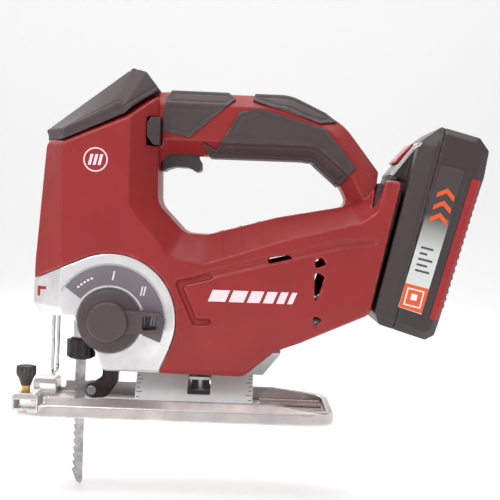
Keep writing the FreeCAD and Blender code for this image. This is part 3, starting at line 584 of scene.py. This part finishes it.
print("printing the marks")
badge = {"x": -45.2, "z": 133.2, "radius": 6.3, "line": 0.7, "patches": 36,
         "bars": 3, "barStart": 3.9, "barApart": 2.5, "barWide": 1.5, "barHigh": 5.6, "barLean": 1.3}
badgeQuads = ringQuads(badge["x"], badge["z"], badge["radius"] - badge["line"], badge["radius"], 0, 360,
                       badge["patches"])
for number in range(badge["bars"]):
    left = badge["x"] - badge["barStart"] + badge["barApart"] * number
    badgeQuads.append(slanted(left, badge["z"] - badge["barHigh"] / 2, badge["barWide"], badge["barHigh"],
                              badge["barLean"]))
headBadge = layOn("headBadge", badgeQuads, made["nearHousing"], thick=0.1, cuts=1)
take(headBadge, palePrint, "tool", "label_film")

stripes = {"start": 15.0, "end": 60.0, "low": 62.4, "high": 6.0, "lean": 2.4, "widest": 9.0,
           "narrower": 0.14, "gap": 1.7, "count": 6}
stripeQuads = []
left = stripes["start"]
for number in range(stripes["count"]):
    wide = stripes["widest"] * (1 - stripes["narrower"] * number)
    if left + wide > stripes["end"]:
        break
    stripeQuads.append(slanted(left, stripes["low"], wide, stripes["high"], stripes["lean"]))
    left += wide + stripes["gap"]
panelStripes = layOn("panelStripes", stripeQuads, made["nearHousing"], thick=0.1, cuts=2)
take(panelStripes, palePrint, "tool", "label_film")

# orbit settings: one, two and three strokes, and a row of dots for none
scaleMarks = {"radius": 23.4, "long": 4.8, "wide": 0.75, "apart": 1.5, "lean": 0.9,
              "strokes": ((86, 1), (43, 2), (1, 3)), "dots": 5, "firstDot": 134, "dotStep": 5}
dialJoint = next(joint for joint in frame["record"]["behaviour"]["joints"] if joint["name"] == "dial_turn")
dialX = dialJoint["pos_m"][0] / millimetre
dialZ = dialJoint["pos_m"][2] / millimetre
strokeQuads = []
for angle, count in scaleMarks["strokes"]:
    middleX = dialX + scaleMarks["radius"] * math.cos(math.radians(angle))
    middleZ = dialZ + scaleMarks["radius"] * math.sin(math.radians(angle))
    for number in range(count):
        x = middleX + (number - (count - 1) / 2) * scaleMarks["apart"] - scaleMarks["wide"] / 2
        strokeQuads.append(slanted(x - scaleMarks["lean"] / 2, middleZ - scaleMarks["long"] / 2,
                                   scaleMarks["wide"], scaleMarks["long"], scaleMarks["lean"]))
for number in range(scaleMarks["dots"]):
    angle = math.radians(scaleMarks["firstDot"] - scaleMarks["dotStep"] * number)
    x = dialX + scaleMarks["radius"] * math.cos(angle)
    z = dialZ + scaleMarks["radius"] * math.sin(angle)
    strokeQuads.append([(x - 0.6, z - 0.5), (x + 0.6, z - 0.3), (x + 0.6, z + 0.7), (x - 0.6, z + 0.5)])
dialStrokes = layOn("dialStrokes", strokeQuads, cadNodes["dial_scale"], thick=0.12, cuts=1)
take(dialStrokes, whitePrint, "tool", "label_film")
# raised rings round the scale: inner and outer radius, first and last degree, patches
rings = ((28.7, 29.5, -20, 150, 48), (17.5, 18.2, -25, 150, 36))
ringPatches = sum((ringQuads(dialX, dialZ, *ring) for ring in rings), [])
coverRings = layOn("coverRings", ringPatches, made["nearCover"], thick=0.35, cuts=1)
take(coverRings, wireSteel, "tool", "cast_cover")

cornerMark = {"x": -75.0, "z": 66.5, "long": 5.2, "line": 1.6}
x, z, long, line = cornerMark["x"], cornerMark["z"], cornerMark["long"], cornerMark["line"]
noseMark = layOn("noseMark", [[(x, z - long), (x + line, z - long), (x + line, z), (x, z)],
                              [(x + line, z - line), (x + long, z - line), (x + long, z), (x + line, z)]],
                 made["nearCover"], thick=0.1, cuts=3)
take(noseMark, redPrint, "tool", "label_film")

# fine mould lines across the floor of the handle's opening
mouldLines = {"places": (22, 32, 42), "edge": -31.5, "wide": 0.45, "lean": 3.5, "thick": 0.22, "cuts": 24}
floorLines = [[(x, mouldLines["edge"]), (x + mouldLines["wide"], mouldLines["edge"]),
               (x + mouldLines["wide"] - mouldLines["lean"], 0), (x - mouldLines["lean"], 0)]
              for x in mouldLines["places"]]
for name, target, side in (("nearMouldLines", "nearHousing", 1), ("farMouldLines", "farHousing", -1)):
    lines = layOn(name, [[(x, side * y) for x, y in quad] for quad in floorLines], made[target], "above",
                  thick=mouldLines["thick"], cuts=mouldLines["cuts"])
    take(lines, redBody, "tool", "red_plastic")


# tilt scale: ticks round both ends of the hump, longer every third
tiltScale = {"radius": 25.0, "first": 24, "step": 6, "count": 9, "wide": 0.35, "short": 1.8, "long": 3.2,
             "inside": 0.6, "thick": 0.16, "proud": 0.02}


def makeTiltScale(scale):
    low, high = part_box("bevel_hump")
    ticks = []
    for side in (-1, 1):
        for end, inward in ((low.x / millimetre + scale["inside"], 1),
                            (high.x / millimetre - scale["inside"], -1)):
            for number in range(scale["count"]):
                long = scale["long"] if number % 3 == 0 else scale["short"]
                bpy.ops.object.select_all(action="DESELECT")
                bpy.ops.mesh.primitive_cube_add(size=millimetre)
                tick = bpy.context.object
                tick.scale = (long, scale["wide"], scale["thick"])
                height = scale["radius"] + scale["proud"]
                tick.location = Vector((end + inward * long / 2, 0, height)) * millimetre
                selectOnly(tick)
                bpy.ops.object.transform_apply(location=True, rotation=True, scale=True)
                angle = side * math.radians(scale["first"] + scale["step"] * number)
                tick.data.transform(Matrix.Rotation(angle, 4, "X"))
                ticks.append(tick)
    return join("tiltScale", ticks)


take(makeTiltScale(tiltScale), darkPrint, "sole", "label_film")

# battery: ribbed strips and what is printed on the label
rails = next(mount for mount in frame["record"]["mounts"] if mount["name"] == "battery_rails")
packOrigin = {"out": 5.5, "down": 70}  # from the rails' mount to the pack's lower front corner
packUp = Vector(rails["axis"]).normalized()
packOut = Vector((packUp.z, 0, -packUp.x))
packStart = (Vector(rails["pos_m"]) + packOut * packOrigin["out"] * millimetre
             - packUp * packOrigin["down"] * millimetre)


def packPoint(out, up):
    spot = packStart + packOut * out * millimetre + packUp * up * millimetre
    return (spot.x / millimetre, spot.z / millimetre)


def packQuad(*spots):
    return [packPoint(out, up) for out, up in spots]


def packRectangle(left, right, low, high):
    return packQuad((left, low), (right, low), (right, high), (left, high))


ribs = {"count": 17, "first": 11.0, "apart": 3.75, "high": 1.7, "lean": 0.0387, "proud": 0.9,
        "inner": 2.3, "outer": 5.3, "skew": 0.3}
redBand = {"low": 4.0, "high": 79.0, "left": 28.3, "wide": 4.7, "steps": 10, "thick": 0.45}


def makeRibs(name, far):
    # a red band round the rear edge of the pack, with teeth along its back
    baseQuads = []
    rise = (redBand["high"] - redBand["low"]) / redBand["steps"]
    for step in range(redBand["steps"]):
        low = redBand["low"] + rise * step
        high = low + rise
        lower, upper = [redBand["left"] + ribs["lean"] * up for up in (low, high)]
        baseQuads.append(packQuad((lower, low), (lower + redBand["wide"], low),
                                  (upper + redBand["wide"], high), (upper, high)))
    band = layOn(name, baseQuads, made["packRear"], far=far, thick=redBand["thick"], cuts=3)
    toothQuads = []
    for number in range(ribs["count"]):
        up = ribs["first"] + ribs["apart"] * number
        left = redBand["left"] + ribs["lean"] * up
        inner, outer = left + ribs["inner"], left + ribs["outer"]
        outerUp = up + ribs["skew"]
        toothQuads.append(packQuad((inner, up), (outer, outerUp), (outer, outerUp + ribs["high"]),
                                   (inner, up + ribs["high"])))
    teeth = layOn(name + "Teeth", toothQuads, made["packRear"], far=far, thick=ribs["proud"], cuts=2)
    return join(name, [band, teeth])


take(makeRibs("nearRibs", False), redTrim, "battery", "red_trim", "battery_strips")
take(makeRibs("farRibs", True), redTrim, "battery", "red_trim")
# pale strip beside the latch: a painted reflection of the light along the glossy edge of the pack
latchReflection = [packQuad((-8.0, 71.4), (-6.2, 71.4), (2.6, 90.4), (0.8, 90.4))]
for name, far in (("nearLatchTrim", False), ("farLatchTrim", True)):
    reflection = layOn(name, latchReflection, made["packFront"], far=far, thick=0.35, cuts=9)
    take(reflection, paleTrim, "battery", "label_film")


labelMarks = {
    "chevrons": (52, 58.5, 65), "chevronLine": 2.6, "chevronWide": 4.6, "chevronRise": 3.4,
    "middle": 18.6, "drift": 0.03,  # the label leans, so its middle drifts as it climbs
    "square": ((11.7, 6.2), (24, 5.6), (24.4, 18.8), (12, 18.8)),
    "outline": (13.6, 22.6, 7.8, 17), "outlineLine": 0.7, "centre": (16.4, 19.6, 11.2, 14.4),
    "barStart": 15, "barLine": 1.1, "bars": ((26, 7.5), (29, 5.5), (32, 7.5), (35, 4.0), (38, 6.5)),
    "thin": 0.08, "raised": 0.16,
}


def chevron(up, look):
    # two slanted bars that meet in the middle of the label
    middle = look["middle"] + look["drift"] * up
    left, right = middle - look["chevronWide"], middle + look["chevronWide"]
    tip, line = up + look["chevronRise"], look["chevronLine"]
    return [packQuad((left, up), (middle, tip), (middle, tip + line), (left, up + line)),
            packQuad((middle, tip), (right, up), (right, up + line), (middle, tip + line))]


def boxOutline(left, right, low, high, line):
    return [packRectangle(left, right, low, low + line), packRectangle(left, right, high - line, high),
            packRectangle(left, left + line, low + line, high - line),
            packRectangle(right - line, right, low + line, high - line)]


def markLabel(side, far, look):
    # the same marks on both sides of the pack
    def printMark(name, quads, ink, thick):
        sheet = layOn(side + name, quads, cadNodes["battery_labels"], far=far, thick=thick, cuts=1)
        take(sheet, ink, "battery", "label_film")

    arrows = sum((chevron(up, look) for up in look["chevrons"]), [])
    printMark("LabelOrange", arrows + [packQuad(*look["square"])], orangePrint, look["thin"])
    outline = boxOutline(*look["outline"], look["outlineLine"]) + [packRectangle(*look["centre"])]
    printMark("LabelFrame", outline, whitePrint, look["raised"])
    bars = [packRectangle(look["barStart"], look["barStart"] + long, up, up + look["barLine"])
            for up, long in look["bars"]]
    printMark("LabelLines", bars, darkPrint, look["thin"])


orangePrint = plainPrint("orangePrint", rgb(232, 92, 40))
markLabel("near", False, labelMarks)
markLabel("far", True, labelMarks)


def labelFilm():
    # silver film that turns dark towards the top
    finish = Finish("labelFilm", Coat_Weight=0.4, Coat_Roughness=0.15)
    height = finish.node("ShaderNodeVectorMath", {"operation": "DOT_PRODUCT"},
                         {0: finish.place, 1: tuple(packUp)}, "Value")
    start = packStart.dot(packUp)
    darkens = {"from": 36, "to": 56}
    fadeUp = finish.fade(height, start + darkens["from"] * millimetre, start + darkens["to"] * millimetre)
    haze = finish.noise(8, 3)
    silver = finish.blend(haze * 0.4, rgb(238, 241, 238), rgb(200, 206, 206))
    finish.set("Base Color", finish.blend(fadeUp, silver, rgb(70, 60, 62)))
    finish.set("Metallic", (1 - fadeUp) * 0.55)
    finish.set("Roughness", finish.fade(haze, 0.3, 0.7, 0.28, 0.42))
    finish.set("Normal", finish.bump(finish.noise(0.5, 2), 0.006))
    return finish.material


# thumb knob of the fence clamp: a waisted knob with flutes pressed into its rim
knobLook = {
    "sides": 56, "flutes": 14, "depth": 0.55, "flutesFrom": 4.2, "rim": 1.1, "dish": 0.5, "lift": 0.02,
    "bevel": 0.18, "profile": ((0.0, 2.6), (1.0, 2.9), (3.2, 3.5), (6.0, 5.2), (9.6, 5.3), (10.4, 4.9)),
}


def makeKnob(look):
    low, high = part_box("fence_knob")
    bpy.ops.object.select_all(action="DESELECT")
    bpy.ops.mesh.primitive_circle_add(vertices=look["sides"], radius=look["profile"][0][1] * millimetre,
                                      fill_type="NGON")
    knob = bpy.context.object
    edit(knob)
    bpy.ops.mesh.select_all(action="SELECT")
    height, radius = look["profile"][0]
    for nextHeight, nextRadius in look["profile"][1:]:
        rise = (nextHeight - height) * millimetre
        bpy.ops.mesh.extrude_region_move(TRANSFORM_OT_translate={"value": (0, 0, rise)})
        grow = nextRadius / radius
        bpy.ops.transform.resize(value=(grow, grow, 1))
        height, radius = nextHeight, nextRadius
    bpy.ops.mesh.inset(thickness=look["rim"] * millimetre)
    bpy.ops.mesh.extrude_region_move(TRANSFORM_OT_translate={"value": (0, 0, -look["dish"] * millimetre)})
    bpy.ops.mesh.select_all(action="SELECT")
    bpy.ops.mesh.normals_make_consistent(inside=False)
    leave()
    step = 2 * math.pi / look["flutes"]
    for vertex in knob.data.vertices:
        flat = Vector((vertex.co.x, vertex.co.y))
        if flat.length > look["flutesFrom"] * millimetre:
            angle = math.atan2(flat.y, flat.x)
            flute = 0.5 + 0.5 * math.cos(angle / step * 2 * math.pi)
            share = 1 - look["depth"] * millimetre * flute / flat.length
            vertex.co.x *= share
            vertex.co.y *= share
    knob.location = ((low.x + high.x) / 2, (low.y + high.y) / 2, low.z + look["lift"] * millimetre)
    settle(knob, "thumbKnob")
    modify(knob, "BEVEL", width=look["bevel"] * millimetre, segments=2, angle_limit=math.radians(40))
    modify(knob, "SUBSURF", levels=1, render_levels=1)
    selectOnly(knob)
    bpy.ops.object.shade_smooth()
    markEdges(knob)
    return knob


take(makeKnob(knobLook), darkBody, "fence_knob", "dark_plastic", "fence_knob")


# case screws: dished heads with a six-sided socket, where the plain ones are
screwLook = {"radius": 3.45, "head": 2.6, "rim": 0.5, "socket": 1.75, "depth": 1.7, "corners": 0.16,
             "bevel": 0.25, "smooth": 35}


def islands(node):
    # the boxes of a node's separate solids
    copy = copyOf("screwIslands", node)
    edit(copy)
    bpy.ops.mesh.select_all(action="SELECT")
    bpy.ops.mesh.separate(type="LOOSE")
    leave()
    boxes = []
    for loose in list(bpy.context.selected_objects):
        corners = [vertex.co for vertex in loose.data.vertices]
        boxes.append((Vector([min(corner[axis] for corner in corners) for axis in range(3)]),
                      Vector([max(corner[axis] for corner in corners) for axis in range(3)])))
        bpy.data.objects.remove(loose)
    return sorted(boxes, key=lambda corners: tuple(corners[0]))


def makeScrewHead(low, high, look):
    bpy.ops.object.select_all(action="DESELECT")
    bpy.ops.mesh.primitive_cylinder_add(vertices=36, radius=look["radius"] * millimetre,
                                        depth=look["head"] * millimetre)
    head = bpy.context.object
    edit(head)
    pick(head, lambda face: face.normal.z > 0.9)
    bpy.ops.mesh.inset(thickness=look["rim"] * millimetre)
    bpy.ops.mesh.inset(thickness=(look["radius"] - look["rim"] - look["socket"]) * millimetre)
    bpy.ops.mesh.extrude_region_move(TRANSFORM_OT_translate={"value": (0, 0, -look["depth"] * millimetre)})
    leave()
    for vertex in head.data.vertices:
        flat = Vector((vertex.co.x, vertex.co.y))
        if 0 < flat.length < (look["socket"] + 0.1) * millimetre:
            angle = math.atan2(flat.y, flat.x) * 6
            share = 1 - look["corners"] * (0.5 - 0.5 * math.cos(angle))
            vertex.co.x *= share
            vertex.co.y *= share
    head.rotation_euler = (-math.pi / 2, 0, 0)
    middle = (low + high) / 2
    head.location = (middle.x, high.y - look["head"] / 2 * millimetre, middle.z)
    settle(head, "screwHead")
    modify(head, "BEVEL", width=look["bevel"] * millimetre, segments=2, angle_limit=math.radians(50))
    return head


heads = [makeScrewHead(low, high, screwLook) for low, high in islands("housing_screws")]
shanks = copyOf("screwShanks", "housing_screws")
caseScrews = join("caseScrews", [shanks] + heads)
selectOnly(caseScrews)
bpy.ops.object.shade_smooth_by_angle(angle=math.radians(screwLook["smooth"]))
take(caseScrews, brightSteel, "tool", "steel", "housing_screws")

# CAD nodes that stay as they are
keptFinishes = {
    "steel": brightSteel, "cast_aluminium": castGrey, "bronze": bronzeBush, "zinc_steel": zincCan,
    "dark_plastic": darkBody, "copper": copperParts, "brass": brassScrew, "gear_steel": gearSteel,
    "laminations": armatureStack, "dark_steel": darkSteel, "blade_steel": bladeSteel,
    "dial_plastic": dialBody, "cell_wrap": cellWrap, "board": boardGreen, "red_trim": redTrim,
    "label_film": whitePrint,
    "soft_grip": gripBody, "red_plastic": redBody, "cast_cover": castCover,
}
slotOf = {row["node"]: row["material_slot"] for row in frame["record"]["subparts"]}
for nodeName, node in cadNodes.items():
    node.data.materials.clear()
    node.data.materials.append(keptFinishes[slotOf[nodeName]])
ownFinishes = {"dial_scale": scaleBody, "wire_guard": wireSteel, "battery_labels": labelFilm()}
for nodeName, finish in ownFinishes.items():
    cadNodes[nodeName].data.materials[0] = finish

# stage, light and camera
print("setting the stage")
# metres: the floor lies just under the blade's tip and sweeps up behind
stageSize = {"floor": -0.0425, "wide": 6.0, "front": -3.0, "back": 1.1, "curve": 0.6, "high": 2.4,
             "steps": 16}


def makeStage(size):
    bpy.ops.object.select_all(action="DESELECT")
    bpy.ops.mesh.primitive_grid_add(x_subdivisions=1, y_subdivisions=1, size=1)
    sweep = bpy.context.object
    sweep.dimensions = (size["wide"], size["back"] - size["front"], 0)
    sweep.location = (0, (size["back"] + size["front"]) / 2, size["floor"])
    settle(sweep, "backdrop")
    edit(sweep, "EDGE")
    rear = size["back"] - millimetre
    pick(sweep, lambda edge: all(sweep.data.vertices[end].co.y > rear for end in edge.vertices), "edges")
    bpy.ops.mesh.spin(steps=size["steps"], angle=math.radians(-90),
                      center=(0, size["back"], size["floor"] + size["curve"]), axis=(1, 0, 0))
    bpy.ops.mesh.extrude_region_move(TRANSFORM_OT_translate={"value": (0, 0, size["high"])})
    leave()
    bpy.ops.object.shade_smooth()
    sweep.data.materials.append(floorFinish())


makeStage(stageSize)

# each lamp's place, size in metres and power in watts
lamps = {
    "keyLight": ((-0.55, -0.8, 1.0), 0.7, 9.0),
    "fillLight": ((0.95, -0.9, 0.6), 0.9, 1.8),
    "topLight": ((0.15, 0.2, 1.1), 0.8, 6.0),
    "backLight": ((-0.3, 0.8, 0.7), 0.7, 4.0),
}
aim = Vector((0.03, 0, 0.08))
for lampName, (place, size, power) in lamps.items():
    data = bpy.data.lights.new(lampName, "AREA")
    data.energy = power
    data.size = size
    lamp = bpy.data.objects.new(lampName, data)
    lamp.location = place
    lamp.rotation_euler = (aim - Vector(place)).to_track_quat("-Z", "Y").to_euler()
    scene.collection.objects.link(lamp)

studioLight = {"Color": (1, 1, 1, 1), "Strength": 0.4}
world = bpy.data.worlds.new("studio")
world.use_nodes = True
for socket, value in studioLight.items():
    world.node_tree.nodes["Background"].inputs[socket].default_value = value
scene.world = world

view = {"target": (0.0358, 0.0, 0.0887), "distance": 0.65, "elevation": 1.5, "roll": 2.1, "lens": 86.2,
        "sensor": 36}
tilt = math.radians(view["elevation"])
forward = Vector((0, math.cos(tilt), -math.sin(tilt)))
camera = bpy.data.objects.new("camera", bpy.data.cameras.new("camera"))
camera.data.lens = view["lens"]
camera.data.sensor_width = view["sensor"]
level = Euler((math.pi / 2 - tilt, 0, 0)).to_matrix()
camera.rotation_euler = (level @ Matrix.Rotation(math.radians(view["roll"]), 3, "Z")).to_euler()
camera.location = Vector(view["target"]) - forward * (view["distance"] / math.cos(tilt))
scene.collection.objects.link(camera)
scene.camera = camera

print("finishing")
